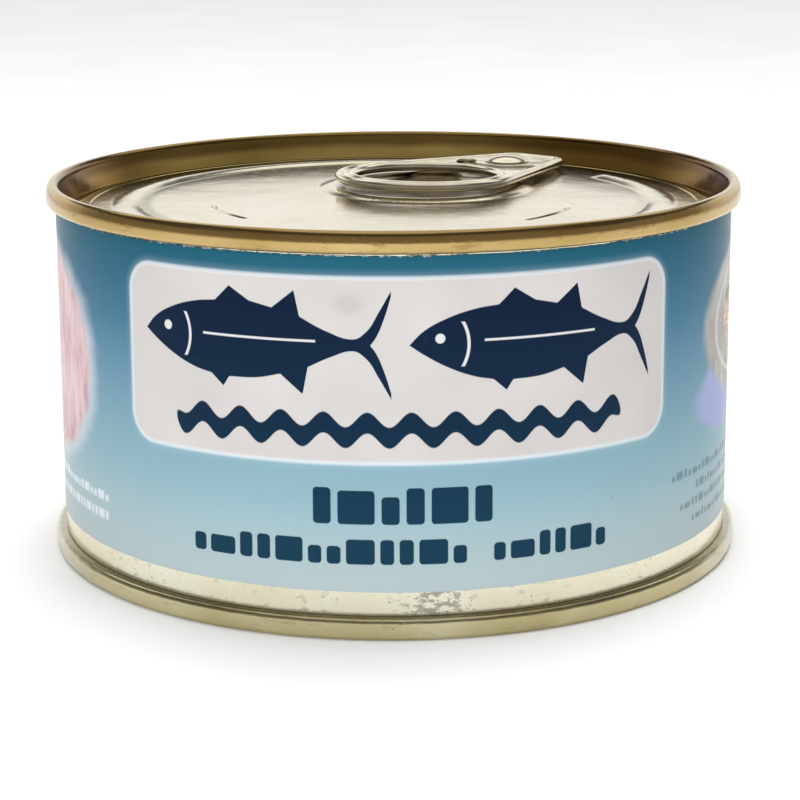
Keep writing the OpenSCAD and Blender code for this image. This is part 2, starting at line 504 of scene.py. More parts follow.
    # A wave runs under the fish.
    crest = g.math("SINE", (u - mid_u) * (2 * math.pi / WAVE_LEN))
    swell = g.round_box(u, v - crest * WAVE_RISE, (mid_u, WAVE_V), (27.0, 1.2), 1.15)
    lay(g.step(swell * 0.8, 0.07, -0.07), navy)

    # Rows of plain blocks stand where lines of print would be.
    words(-9.6, 11.4, 6, 15.4, 4.2, 0.75, navy)
    words(-24.4, 8.4, 12, 10.1, 2.9, 0.6, navy)
    words(10.9, 25.9, 6, 10.1, 2.9, 0.6, navy)
    white = rgb(214, 224, 230)
    for row, (start, end) in enumerate(((-80.0, -39.2), (-77.0, -39.3))):
        words(start, end, 30, 11.6 - 2.3 * row, 1.1, 0.35, white, 0.2, 0.2)
    slate = g.blend(0.45, colour, navy)
    for row, (start, end) in enumerate(((37, 77), (43, 71), (39, 75), (42, 72))):
        count = round((end - start) / 1.3)
        words(start, end, count, 14.0 - 1.95 * row, 1.0, 0.4, slate, 0.2, 0.2)

    # Round the back, two pale fields hold rows of short lines.
    from_field = u - g.math("SIGN", u) * BACK_FIELD_U
    field = g.round_box(from_field, v, (0.0, 25.5), (19.0, 15.0), 2.0)
    lay(g.step(field, 0.15, -0.15), rgb(224, 226, 228))
    row = (v - 11.5) / LINE_PITCH
    ragged = g.math("SINE", g.math("FLOOR", row) * 7.7) * 3.5
    rule = abs(g.math("FRACT", row) - 0.5) * LINE_PITCH - 0.42
    breaks = 0.3 - abs(g.math("FRACT", (from_field + ragged) / 4.7) - 0.5) * 4.7
    rule = g.most(rule, from_field - 13.0 - ragged, -16.5 - from_field, breaks)
    rule = g.most(rule, abs(row - 5.5) * LINE_PITCH - 11.5)
    lay(g.step(rule, 0.1, -0.1) * 0.85, rgb(52, 84, 104))

    # Handling marks: a few specks and one faint brown stain.
    specks = g.noise(print_at, 1.9, 1.0)
    lay(g.step(specks, 0.80, 0.84) * 0.6, rgb(92, 84, 76))
    stain = g.blob(u, v, (-5.0, 38.3), (1.6, 1.1)) + wobble * 0.25
    lay(g.step(stain, 0.6, -0.6) * 0.16, rgb(128, 110, 96))
    edge_wear = g.noise(g.vector(u * 1.3, v * 0.6, 2.0), 1.1, 3.0, 0.6)
    worn = g.step(v + edge_wear * 1.1, LABEL_Z1 + 0.4, LABEL_Z1 + 0.5)
    lay(worn * 0.8, rgb(206, 204, 196))

    shader_in = shader.inputs
    g.feed(shader_in["Base Color"], colour)
    fibres = g.noise(point, 1.6, 4.0, 0.6)
    g.feed(shader_in["Roughness"], g.step(fibres, 0.2, 0.8, smooth=False) * 0.12 + 0.5)
    shader_in["Specular IOR Level"].default_value = 0.0
    shader_in["Coat Weight"].default_value = 0.5
    shader_in["Coat IOR"].default_value = 1.28
    shader_in["Coat Roughness"].default_value = 0.15
    waves = g.noise(g.vector(u * 0.6, v * 0.15, 0.0), 0.12, 2.0)
    g.feed(shader_in["Normal"], g.bump(fibres * 0.02 + waves * 0.25, 0.5))
    return mat


def build_label():
    """One sheet round the body; its end lies over its start at the back."""
    overlap = 4.0
    ramp_len = 3.0
    half_round = math.pi * PRINT_R
    columns = 960
    rows = 24
    mesh = bmesh.new()
    front = []
    back = []
    span = 2 * half_round + 2 * overlap
    for i in range(columns + 1):
        s = -half_round - overlap + span * i / columns
        angle = s / PRINT_R
        over = 0.0
        if s > half_round - overlap - ramp_len:
            t = min(1.0, (s - half_round + overlap + ramp_len) / ramp_len)
            over = t * t * (3 - 2 * t)
        lift = over * PAPER_T
        for column, radius in ((front, PRINT_R + lift), (back, BODY_R + lift)):
            line = []
            for j in range(rows + 1):
                share = j / rows
                wave = noise.noise(Vector((s * 0.35, 0.0, 7.3)))
                nick = noise.noise(Vector((s * 1.7, 3.1, 0.0)))
                top = LABEL_Z1 - 0.16 + 0.1 * wave + 0.06 * nick
                low = LABEL_Z0 + 0.06 + 0.05 * noise.noise(Vector((s * 0.3, 9.7, 0.0)))
                z = low + (top - low) * share
                line.append(
                    mesh.verts.new(
                        (
                            radius * math.sin(angle) * MM,
                            -radius * math.cos(angle) * MM,
                            z * MM,
                        )
                    )
                )
            column.append(line)
    for i in range(columns):
        for j in range(rows):
            mesh.faces.new(
                (front[i][j], front[i + 1][j], front[i + 1][j + 1], front[i][j + 1])
            )
            mesh.faces.new(
                (back[i][j], back[i][j + 1], back[i + 1][j + 1], back[i + 1][j])
            )
        mesh.faces.new((front[i][0], back[i][0], back[i + 1][0], front[i + 1][0]))
        mesh.faces.new(
            (front[i][rows], front[i + 1][rows], back[i + 1][rows], back[i][rows])
        )
    for i, flip in ((0, False), (columns, True)):
        for j in range(rows):
            quad = [front[i][j], front[i][j + 1], back[i][j + 1], back[i][j]]
            mesh.faces.new(quad[::-1] if flip else quad)
    return finish_mesh("label_wrap", mesh, label_print(), sharp=math.radians(40))


def finish_mesh(name, mesh, mat, sharp=math.radians(50), closed=True):
    """Turns a bmesh into a smooth piece of the scene, creased at its sharp edges."""
    if closed:
        bmesh.ops.recalc_face_normals(mesh, faces=mesh.faces)
    data = bpy.data.meshes.new(name)
    for face in mesh.faces:
        face.smooth = True
    for edge in mesh.edges:
        if len(edge.link_faces) == 2:
            edge.smooth = edge.calc_face_angle(0.0) < sharp
    mesh.to_mesh(data)
    mesh.free()
    data.materials.append(mat)
    piece = bpy.data.objects.new(name, data)
    bpy.context.scene.collection.objects.link(piece)
    return piece


# ---------------------------------------------------------------- pressed ends

# Facets round each pressed piece
LID_SEAM_SIDES = 600
LID_PANEL_SIDES = 480
BASE_SIDES = 540


def arc(x, z, r, start, end, steps, tall=1.0):
    """Points round part of a circle or upright ellipse, angles in degrees."""
    points = []
    for k in range(steps + 1):
        a = math.radians(start + (end - start) * k / steps)
        points.append((x + r * math.cos(a), z + tall * r * math.sin(a)))
    return points


def line(start, end, steps):
    """Points along a straight part of a section."""
    return [
        (
            start[0] + (end[0] - start[0]) * k / steps,
            start[1] + (end[1] - start[1]) * k / steps,
        )
        for k in range(steps + 1)
    ]


def join(*runs):
    """Runs of points in one list, without repeats where they meet."""
    points = []
    for run in runs:
        for point in run:
            if not points or math.dist(points[-1], point) > 1e-4:
                points.append(point)
    return points


def seam_section():
    """From under the seam, up its outer face, over the crest and into the groove.

    Zero height is the crest.
    """
    return join(
        [(BODY_R - 0.2, -SEAM_H + 0.05), (BODY_R + 0.25, -SEAM_H)],
        arc(SEAM_R - HEM_ROUND, HEM_ROUND - SEAM_H, HEM_ROUND, -90, 0, 10),
        line((SEAM_R, HEM_ROUND - SEAM_H), (SEAM_R, -CREST_TALL), 4),
        arc(
            SEAM_R - CREST_OUT, -CREST_TALL, CREST_OUT, 0, 90, 18,
            tall=CREST_TALL / CREST_OUT,
        ),
        arc(CHUCK_R + CREST_ROUND, -CREST_ROUND, CREST_ROUND, 90, 180, 12),
        line((CHUCK_R, -CREST_ROUND), (GROOVE_R, GROOVE_Z), 14),
        arc(GROOVE_R - GROOVE_ROUND, GROOVE_Z, GROOVE_ROUND, 0, -90, 8),
    )


def panel_edge_section():
    """From the groove's floor up and over the panel's rounded edge."""
    edge_z = -PANEL_DEPTH - PANEL_ROUND
    return join(
        arc(GROOVE_R - GROOVE_ROUND, GROOVE_Z, GROOVE_ROUND, -80, -180, 9),
        arc(PANEL_R - PANEL_ROUND, edge_z, PANEL_ROUND, 0, 90, 8),
    )


def revolve(section, segments, wobble=None):
    """An open surface of revolution about Z from (radius, height) points.

    Drawn with the radius to the right, it faces right of the section's direction.
    """
    mesh = bmesh.new()
    rings = []
    for k in range(segments):
        a = 2 * math.pi * k / segments
        ring = []
        for r, z in section:
            if wobble:
                r, z = wobble(r, z, a)
            ring.append(
                mesh.verts.new((r * math.cos(a) * MM, r * math.sin(a) * MM, z * MM))
            )
        rings.append(ring)
    for k in range(segments):
        here, there = rings[k], rings[(k + 1) % segments]
        for j in range(len(section) - 1):
            mesh.faces.new((here[j], there[j], there[j + 1], here[j + 1]))
    return mesh


def dome(value):
    """0 at -1 and 1, and 1 at 0, with a smooth top."""
    return max(0.0, 1.0 - value * value)


def ease(value, start, end):
    """0 at start and 1 at end, with a soft change between."""
    t = min(1.0, max(0.0, (value - start) / (end - start)))
    return t * t * (3 - 2 * t)


def uneven_seam(r, z, a):
    """A rolled seam is never quite true: slight waves along its outer face and hem."""
    share = ease(r, CHUCK_R + 0.8, SEAM_R)
    spot = Vector((7 * math.cos(a), 7 * math.sin(a), 1.7))
    fine = Vector((60 * math.cos(a), 60 * math.sin(a), 5.1))
    dip = 0.035 * (noise.noise(spot) - 0.6) + 0.02 * (noise.noise(fine) - 0.6)
    hem = ease(-z, SEAM_H - 1.2, SEAM_H)
    return r + share * dip, z + share * hem * 0.06 * (noise.noise(fine * 0.4) + 0.4)


def build_lid_seam():
    mesh = revolve(seam_section(), LID_SEAM_SIDES, uneven_seam)
    bmesh.ops.translate(mesh, vec=(0, 0, CAN_H * MM), verts=mesh.verts)
    return finish_mesh("lid_seam", mesh, lid_steel, closed=False)


def lid_height(x, y):
    """Height of the lid's panel over its flat level."""
    r = math.hypot(x, y)
    to_rivet = math.hypot(x - RIVET_AT[0], y - RIVET_AT[1])
    to_ring = math.hypot(x - RING_AT[0], y - RING_AT[1])
    bead = BEAD_RISE * dome((r - BEAD_R) / BEAD_HALF)
    bead *= ease(to_rivet, BEAD_STOP, BEAD_FULL)
    rim = WELL_RIM_RISE * dome((to_ring - WELL_R) / WELL_RIM_HALF)
    well_in = WELL_R - WELL_RIM_HALF
    bowl = WELL_DEPTH * dome(to_ring / well_in) if to_ring < well_in else 0.0
    height = bead + rim - bowl
    height -= SCORE_DEPTH * max(0.0, 1.0 - abs(r - SCORE_R) / SCORE_HALF)
    turn = math.degrees(math.atan2(y, x)) % 360
    for mid in DENT_MIDS:
        past = max(0.0, abs(turn - mid) - DENT_SPAN / 2) * math.pi / 180 * r
        off = math.hypot(r - DENT_R, past) / DENT_HALF
        height -= DENT_DEPTH * dome(off) if off < 1 else 0.0
    return height


def build_lid_panel():
    """The panel inside the groove: bead, tear line, finger well and dents."""
    radii = [PANEL_R - PANEL_ROUND - 0.25, SCORE_R + 0.5]
    radii += [SCORE_R + step for step in (0.2, 0.16, 0.08, 0.0, -0.08, -0.16, -0.2)]
    radii += [SCORE_R - 0.6, SCORE_R - 1.3, BEAD_R + 2.0]
    radii += [BEAD_R + 1.8 - 0.24 * k for k in range(16)]
    inner = [31.6 - 0.4 * k for k in range(79)]
    inner += [DENT_R + 0.08 * k for k in range(-6, 7)]
    radii += sorted(set(round(r, 3) for r in inner), reverse=True)
    radii = [r for k, r in enumerate(radii) if k == 0 or radii[k - 1] - r > 0.03]
    section = panel_edge_section()
    edge = len(section)
    section = section + [(r, -PANEL_DEPTH) for r in radii if r > 0.3]

    def shape(r, z, a):
        if r > section[edge][0] + 1e-6:
            return r, z
        return r, z + lid_height(r * math.cos(a), r * math.sin(a))

    mesh = revolve(section, LID_PANEL_SIDES, shape)
    mesh.verts.ensure_lookup_table()
    count = len(section)
    rim = [mesh.verts[k * count + count - 1] for k in range(LID_PANEL_SIDES)]
    hub = mesh.verts.new((0, 0, (lid_height(0, 0) - PANEL_DEPTH) * MM))
    for k in range(LID_PANEL_SIDES):
        mesh.faces.new((rim[k], rim[(k + 1) % LID_PANEL_SIDES], hub))
    bmesh.ops.translate(mesh, vec=(0, 0, CAN_H * MM), verts=mesh.verts)
    return finish_mesh("lid_panel", mesh, lid_steel, closed=False)


def build_rivet():
    """Seat, shank and domed head, drawn up out of the panel."""
    web = WEB_T / 2
    seat = WEB_Z - PANEL_Z
    section = join(
        [(BOSS_R + 0.9, -seat - 0.1), (BOSS_R + 0.45, -seat + 0.06)],
        arc(BOSS_R - 0.15, -web - 0.15, 0.15, 0, 90, 4),
        [(SHANK_R, -web), (SHANK_R, web)],
        arc(HEAD_R - 0.12, web + 0.12, 0.12, -90, 30, 5),
        [
            (HEAD_R * share, web + 0.12 + (HEAD_RISE - 0.12) * (1 - share**2.2))
            for share in (0.94, 0.85, 0.72, 0.58, 0.44, 0.3, 0.18, 0.08, 0.01)
        ],
    )
    mesh = revolve(section, 96)
    turned = Matrix.Scale(MM, 4) @ tab_place() @ Matrix.Scale(1 / MM, 4)
    bmesh.ops.transform(mesh, matrix=turned, verts=mesh.verts)
    return finish_mesh("rivet", mesh, lid_steel, closed=False)


def build_base_end():
    """The bottom end, seam and stepped panel, as one pressing seen from below."""
    steps = []
    level = PANEL_DEPTH
    r = PANEL_R - PANEL_ROUND
    for k in range(2):
        at = PANEL_R - STEP_INSET - STEP_PITCH * k
        steps += line((r - 0.4, level), (at + 0.45, level), 3)
        steps += [
            (at + 0.2, level + 0.05),
            (at, level + 0.15),
            (at - 0.2, level + 0.25),
        ]
        level += STEP_RISE
        steps.append((at - 0.45, level))
        r = at - 0.45
    steps += line((r - 0.5, level), (0.4, level), 10)
    section = join(seam_section(), panel_edge_section())
    section = [(r, -z) for r, z in section] + steps
    section = section[::-1]

    def shape(r, z, a):
        new_r, depth = uneven_seam(r, -z, a)
        return new_r, -depth

    mesh = revolve(section, BASE_SIDES, shape)
    mesh.verts.ensure_lookup_table()
    count = len(section)
    rim = [mesh.verts[k * count] for k in range(BASE_SIDES)]
    hub = mesh.verts.new((0, 0, section[0][1] * MM))
    for k in range(BASE_SIDES):
        mesh.faces.new((rim[k], hub, rim[(k + 1) % BASE_SIDES]))
    return finish_mesh("base_end", mesh, base_steel, closed=False)


# ---------------------------------------------------------------- ring pull


def hull_loop(discs, inset):
    """Outline of the hull of (x, y, r) discs, counter-clockwise, moved in by inset."""
    step_angle = math.radians(4)
    step_len = 0.8
    count = len(discs)
    normals = []
    for i in range(count):
        x0, y0, r0 = discs[i]
        x1, y1, r1 = discs[(i + 1) % count]
        along = math.atan2(y1 - y0, x1 - x0)
        gap = math.hypot(x1 - x0, y1 - y0)
        normals.append(along - math.acos((r0 - r1) / gap))
    loop = []
    for i in range(count):
        x, y, r = discs[i]
        start = normals[i - 1]
        end = normals[i]
        while end < start:
            end += 2 * math.pi
        steps = max(2, math.ceil((end - start) / step_angle))
        for k in range(steps + 1):
            a = start + (end - start) * k / steps
            loop.append((x + (r - inset) * math.cos(a), y + (r - inset) * math.sin(a)))
        nx, ny, nr = discs[(i + 1) % count]
        a = normals[i]
        p = (x + (r - inset) * math.cos(a), y + (r - inset) * math.sin(a))
        q = (nx + (nr - inset) * math.cos(a), ny + (nr - inset) * math.sin(a))
        run = math.hypot(q[0] - p[0], q[1] - p[1])
        parts = max(1, round(run / step_len))
        for k in range(1, parts):
            t = k / parts
            loop.append((p[0] + (q[0] - p[0]) * t, p[1] + (q[1] - p[1]) * t))
    return loop


def circle_loop(x, y, r, count):
    return [
        (
            x + r * math.cos(2 * math.pi * k / count),
            y + r * math.sin(2 * math.pi * k / count),
        )
        for k in range(count)
    ]


def slot_loop(grow):
    """Outline of the crescent slot round the rivet, grown by grow."""
    mid = SLOT_R - SLOT_W / 2
    half = SLOT_W / 2 + grow
    bend = 40
    cap = 10
    loop = []
    first = math.pi - SLOT_SPAN / 2
    for k in range(bend + 1):
        a = first + SLOT_SPAN * k / bend
        loop.append(((mid + half) * math.cos(a), (mid + half) * math.sin(a)))
    end = first + SLOT_SPAN
    for k in range(1, cap):
        a = end + math.pi * k / cap
        loop.append(
            (
                mid * math.cos(end) + half * math.cos(a),
                mid * math.sin(end) + half * math.sin(a),
            )
        )
    for k in range(bend + 1):
        a = end - SLOT_SPAN * k / bend
        loop.append(((mid - half) * math.cos(a), (mid - half) * math.sin(a)))
    for k in range(1, cap):
        a = first + math.pi + math.pi * k / cap
        loop.append(
            (
                mid * math.cos(first) + half * math.cos(a),
                mid * math.sin(first) + half * math.sin(a),
            )
        )
    return loop


def curl_profile():
    """(inset, height) from a rolled edge's outermost line to the flat web."""
    r = CURL_T / 2
    web = WEB_T / 2
    profile = []
    steps = 12
    for k in range(steps + 1):
        a = math.pi - math.pi * CURL_WRAP * k / steps
        profile.append((r + r * math.cos(a), r * math.sin(a)))
    profile.append((1.18, web + 0.02))
    profile.append((1.25, web))
    profile.append((1.34, web))
    return profile


def inside(point, loop):
    """Whether a point lies inside a closed outline."""
    x, y = point
    hit = False
    for (x0, y0), (x1, y1) in zip(loop, loop[1:] + loop[:1]):
        if (y0 > y) != (y1 > y) and x < x0 + (y - y0) * (x1 - x0) / (y1 - y0):
            hit = not hit
    return hit


def tab_place():
    """From the tab's own frame, with its origin at the rivet, to the can's."""
    return (
        Matrix.Translation((RIVET_AT[0], RIVET_AT[1], WEB_Z))
        @ Matrix.Rotation(TAB_TURN, 4, "Z")
        @ Matrix.Rotation(TAB_TILT, 4, "Y")
    )


def build_tab():
    """Ring, web and nose as one piece with a rolled edge all round."""
    discs = [
        (-RIVET_REACH, 0.0, RING_R),
        (NOSE_REACH - NOSE_ROUND, -(NOSE_HALF - NOSE_ROUND), NOSE_ROUND),
        (NOSE_REACH - NOSE_ROUND, NOSE_HALF - NOSE_ROUND, NOSE_ROUND),
    ]
    mesh = bmesh.new()
    web = WEB_T / 2
    profile = curl_profile()
    cut = 0.12

    def strip(loops, heights, side):
        """Rows of points joined by quads; returns the last row's points.

        A row at zero height is one row for both sides.
        """
        rows = []
        for loop, height in zip(loops, heights):
            if height == 0.0 and side < 0:
                rows.append(shared[id(loop)])
                continue
            rows.append([mesh.verts.new((px, py, side * height)) for px, py in loop])
            if height == 0.0:
                shared[id(loop)] = rows[-1]
        for low, high in zip(rows, rows[1:]):
            count = len(low)
            for k in range(count):
                n = (k + 1) % count
                mesh.faces.new((low[k], low[n], high[n], high[k]))
        return rows[-1]

    shared = {}
    outer = [hull_loop(discs, inset) for inset, _ in profile]
    hole = [circle_loop(-RIVET_REACH, 0.0, HOLE_R + inset, 160) for inset, _ in profile]
    curl_heights = [height for _, height in profile]
    edge_insets = [0.0, cut * 0.3, cut]
    edge_heights = [web - cut, web - cut * 0.3, web]
    slot = [slot_loop(inset) for inset in edge_insets]
    rivet = [circle_loop(0.0, 0.0, SHANK_R + 0.05 + inset, 48) for inset in edge_insets]
    curl_heights[0] = 0.0
    ends = {}
    for side in (1, -1):
        ends[side] = [
            strip(outer, curl_heights, side),
            strip(hole, curl_heights, side),
            strip(slot, edge_heights, side),
            strip(rivet, edge_heights, side),
        ]
    # Walls of the slot and of the rivet's hole join the two faces.
    for loops in (slot, rivet):
        top = [mesh.verts.new((px, py, web - cut)) for px, py in loops[0]]
        low = [mesh.verts.new((px, py, cut - web)) for px, py in loops[0]]
        count = len(top)
        for k in range(count):
            n = (k + 1) % count
            mesh.faces.new((top[k], top[n], low[n], low[k]))
    # The flat web between the rolled edges.
    border = [outer[-1], hole[-1], slot[-1], rivet[-1]]
    points = []
    edges = []
    for loop in border:
        first = len(points)
        points += [Vector(p) for p in loop]
        edges += [(first + k, first + (k + 1) % len(loop)) for k in range(len(loop))]
    found = delaunay_2d_cdt(points, edges, [], 0, 1e-6)
    flat = found[0]
    for side in (1, -1):
        verts = [v for row in ends[side] for v in row]
        extra = {}
        for tri in found[2]:
            mid = sum((flat[k] for k in tri), Vector((0.0, 0.0))) / 3
            if not inside(mid, border[0]) or any(inside(mid, b) for b in border[1:]):
                continue
            corners = []
            for k in tri:
                ids = found[3][k]
                if ids:
                    corners.append(verts[ids[0]])
                else:
                    if k not in extra:
                        extra[k] = mesh.verts.new((flat[k][0], flat[k][1], side * web))
                    corners.append(extra[k])
            if len(set(corners)) == 3:
                mesh.faces.new(corners)
    bmesh.ops.remove_doubles(mesh, verts=mesh.verts, dist=1e-5)
    turned = Matrix.Scale(MM, 4) @ tab_place()
    bmesh.ops.transform(mesh, matrix=turned, verts=mesh.verts)
    return finish_mesh("ring_pull", mesh, tab_steel(), sharp=math.radians(60))


def tab_steel():
    """Bright steel with rolling grain along the tab."""
    mat, g, shader = material("tab_steel")
    point, (x, y, z) = g.place()
    along = x * TAB_DIR[0] + y * TAB_DIR[1]
    across = y * TAB_DIR[0] - x * TAB_DIR[1]
    grain = g.noise(g.vector(along * 0.12, across * 2.2, z * 2.2), 1.4, 4.0, 0.6)
    cloud = g.noise(point, 0.25, 3.0)
    base = g.shades(cloud, (216, 206, 180), (230, 222, 200), (238, 232, 214))
    g.feed(shader.inputs["Base Color"], base)
    shader.inputs["Metallic"].default_value = 1.0
    g.feed(
        shader.inputs["Roughness"],
        g.step(grain, 0.2, 0.8, smooth=False) * 0.08 + 0.15,
    )
    g.feed(shader.inputs["Normal"], g.bump(grain * 0.012 + cloud * 0.08, 0.4))
    return mat


# ---------------------------------------------------------------- lacquered steel


def steel_finish(g, shader, point, colour, dull, rough=0.2):
    """Metal with fine rolling grain; dull is 0 for clean steel and 1 for dirt."""
    fine = g.noise(point, 1.1, 4.0, 0.6)
    cloud = g.noise(point, 0.09, 3.0)
    g.feed(shader.inputs["Base Color"], colour)
    g.feed(shader.inputs["Metallic"], 1.0 - dull * 0.7)
    g.feed(
        shader.inputs["Roughness"],
        g.step(fine, 0.2, 0.8, smooth=False) * 0.08 + rough + dull * 0.3,
    )
    relief = fine * 0.02 + cloud * 0.3 + dull * 0.02
    g.feed(shader.inputs["Normal"], g.bump(relief, 0.4))


def seam_marks(g, u, z, low, high):
    """Smudges and rust dots along a rolled seam, from 0 to 1."""
    smear = g.noise(g.vector(u * 0.22, z * 0.9, 3.0), 1.0, 4.0, 0.6)
    dots = g.noise(g.vector(u, z, 8.0), 1.5, 2.0)
    zone = g.step(z, low, low + 0.4) * g.step(z, high, high - 0.4)
    smudges = g.step(smear, 0.56, 0.7) * zone
    rust = g.step(dots, 0.72, 0.78)
    return smudges, rust


def lid_lacquer():
    """Cream lacquer inside, gold where the seam rolled it, brown in the groove, with
    painted reflections and painted shade laid over them.
    """
    mat, g, shader = material("lid_lacquer")
    point, (x, y, z) = g.place()
    radius = g.length(x, y)
    u = g.math("ARCTAN2", x, -y) * SEAM_R
    cloud = g.noise(point, 0.09, 3.0)
    gold = g.shades(cloud, (178, 152, 96), (189, 164, 110), (202, 180, 130))
    streaks = g.noise(g.vector(u * 0.1, z, 0.0), 0.8, 3.0)
    wall = g.shades(streaks, (196, 166, 92), (214, 184, 110))
    # Painted reflection: the groove's wall turns brown towards its sides, where it
    # mirrors a dark room.
    dark_room_reflection = g.step(x, 6.0, 28.0) * 0.9 + g.band(x, -20.0, 5.0, 8.0) * 0.3
    dark_room_reflection = g.least(dark_room_reflection + g.step(x, -28.0, -38.0) * 0.75, 1.0)
    wall = g.blend(dark_room_reflection, wall, rgb(122, 90, 38))
    # Painted shade: the groove's wall darkens towards its top, under the crest.
    drift_z = (g.noise(g.vector(u * 0.06, 0.0, 5.0), 1.0, 2.0) - 0.5) * 1.6
    wall_top_shade = g.step(z + drift_z, CAN_H - 2.5, CAN_H - 1.3)
    wall = g.blend(wall_top_shade * 0.7, wall, rgb(86, 60, 24))
    # The cream is partly lacquer tone and partly painted reflection: paler than the
    # gold, for the bright backdrop that the panel mirrors.
    cream = g.shades(cloud, (216, 205, 180), (224, 215, 193), (230, 223, 204))
    tan = g.shades(cloud, (130, 102, 50), (150, 122, 66))
    # Painted reflection: the tan ring pales to olive towards the back.
    back_reflection = g.step(y, -22.0, 4.0)
    tan = g.blend(back_reflection * 0.8, tan, rgb(190, 174, 114))
    drift = (g.noise(point, 0.05, 2.0) - 0.5) * 0.9
    colour = g.blend(g.step(radius, CHUCK_R + 0.7, CHUCK_R + 0.2), gold, wall)
    colour = g.blend(g.step(radius, PANEL_R + 0.6, PANEL_R + 0.1), colour, tan)
    inner = g.step(radius + drift, TAN_FROM_R, CREAM_FROM_R)
    colour = g.blend(inner, colour, cream)
    # Painted reflection: a grey-green band round the panel, strongest at the left,
    # mirrors the groove's wall.
    to_left = g.step(x - y * 0.6, 30.0, -34.0)
    wall_reflection_band = g.band(radius + drift, WALL_REFLECTION_R, 0.8, 0.5) * (to_left * 0.65 + 0.15)
    colour = g.blend(wall_reflection_band, colour, rgb(146, 144, 106))
    # Painted shade: the finger well under the ring is darkened.
    to_ring = g.length(x - RING_AT[0], y - RING_AT[1])
    well = g.step(to_ring, 12.4, 10.6)
    colour = g.blend(well * 0.75, colour, rgb(98, 82, 50))
    # Scuffs: fine wavy scratches, densest in front of the ring.
    warp = g.noise(point, 0.16, 3.0) * 9.0
    ripple = g.math("SINE", (y * 1.9 + warp + x * 0.35) * 1.6)
    where = g.step(g.noise(point, 0.12, 2.0), 0.48, 0.62)
    scuff = g.step(ripple, 0.93, 0.995) * where * g.step(radius, 31.0, 29.0)
    grit = g.step(g.noise(point, 1.3, 2.0), 0.74, 0.80)
    colour = g.blend(scuff * 0.45, colour, rgb(138, 128, 100))
    colour = g.blend(grit * 0.5, colour, rgb(112, 98, 66))
    smudges, rust = seam_marks(g, u, z, CAN_H - 2.6, CAN_H - 0.9)
    outer = g.step(radius, SEAM_R - 0.5, SEAM_R - 0.2)
    # Painted reflection: the seam's outer face is darkened over its upper part, under
    # the crest, where it mirrors the dark room.
    under_crest = g.step(z, CAN_H - 0.05, CAN_H - 0.4)
    shade = g.step(z, CAN_H - 1.5, CAN_H - 1.0) * under_crest * outer
    colour = g.blend(shade * 0.4, colour, rgb(170, 118, 48))
    dirt = smudges * outer * 0.55
    colour = g.blend(dirt, colour, rgb(150, 116, 68))
    spot = rust * outer * 0.75
    colour = g.blend(spot, colour, rgb(134, 78, 36))
    steel_finish(g, shader, point, colour, g.most(dirt * 0.6, spot, grit * 0.3), 0.12)
    return mat


def end_lacquer():
    """The bottom end: a khaki-gold seam and a plain lacquered panel."""
    mat, g, shader = material("end_lacquer")
    point, (x, y, z) = g.place()
    radius = g.length(x, y)
    u = g.math("ARCTAN2", x, -y) * SEAM_R
    cloud = g.noise(point, 0.09, 3.0)
    khaki = g.shades(cloud, (186, 174, 128), (200, 190, 148), (212, 206, 172))
    # Painted reflection: the bottom seam turns pale silver towards the sides and back.
    side_sheen = g.step(abs(u), 34.0, 62.0)
    colour = g.blend(side_sheen * 0.7, khaki, rgb(206, 204, 192))
    gold = g.shades(cloud, (198, 176, 126), (214, 196, 150))
    colour = g.blend(g.step(radius, 42.4, 41.4), colour, gold)
    smudges, rust = seam_marks(g, u, z, 0.1, 2.5)
    outer = g.step(radius, SEAM_R - 0.7, SEAM_R - 0.3)
    dirt = smudges * outer * 0.4
    colour = g.blend(dirt, colour, rgb(140, 132, 100))
    spot = rust * outer * 0.6
    colour = g.blend(spot, colour, rgb(120, 92, 54))
    rings = g.noise(g.vector(radius * 3.0, 0.0, 0.0), 1.0, 3.0, 0.7)
    scratch = g.step(rings, 0.6, 0.75) * g.step(radius, 39.0, 38.0) * 0.2
    colour = g.blend(scratch, colour, rgb(226, 214, 178))
    steel_finish(g, shader, point, colour, g.most(dirt * 0.6, spot))
    return mat


def body_lacquer():
    """The strip of body left bare between the label and the bottom seam."""
    mat, g, shader = material("body_lacquer")
    point, (x, y, z) = g.place()
    u = g.math("ARCTAN2", x, -y) * BODY_R
    cloud = g.noise(point, 0.09, 3.0)
    colour = g.shades(cloud, (222, 215, 186), (231, 226, 202), (238, 234, 216))
    jag = g.noise(g.vector(u * 0.9, z * 1.6, 0.0), 0.9, 5.0, 0.65)
    spread = g.step(g.noise(g.vector(u * 0.05, 0.0, 6.0), 1.0, 2.0), 0.45, 0.62)
    middle = g.band(u, 4.5, 4.0, 3.0)
    smudge = g.step(jag + middle * 0.09, 0.57, 0.63) * g.most(spread * 0.7, middle)
    colour = g.blend(smudge * 0.75, colour, rgb(142, 140, 132))
    specks = g.step(g.noise(g.vector(u, z, 4.0), 1.8, 2.0), 0.72, 0.77)
    colour = g.blend(specks * 0.7, colour, rgb(84, 76, 56))
    # Painted shade: a darker line at the foot of the strip, where it meets the bottom
    # seam; it also dulls the steel there.
    low = g.step(z + jag * 0.5, 3.15, 2.85)
    colour = g.blend(low * 0.7, colour, rgb(126, 112, 74))
    steel_finish(g, shader, point, colour, g.most(smudge * 0.6, specks, low * 0.5))
    return mat


def repaint(node, mat):
    """Gives a CAD node's slots a better material."""
    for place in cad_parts[node].material_slots:
        place.material = mat


# ---------------------------------------------------------------- stage, light, camera

CAMERA_AT = (0.0, -281.06, 87.36)
# Angles in radians
CAMERA_PITCH = 0.2008
CAMERA_YAW = 0.0027
CAMERA_ROLL = -0.0042
CAMERA_LENS = 100.74
CAMERA_SHIFT = -0.125


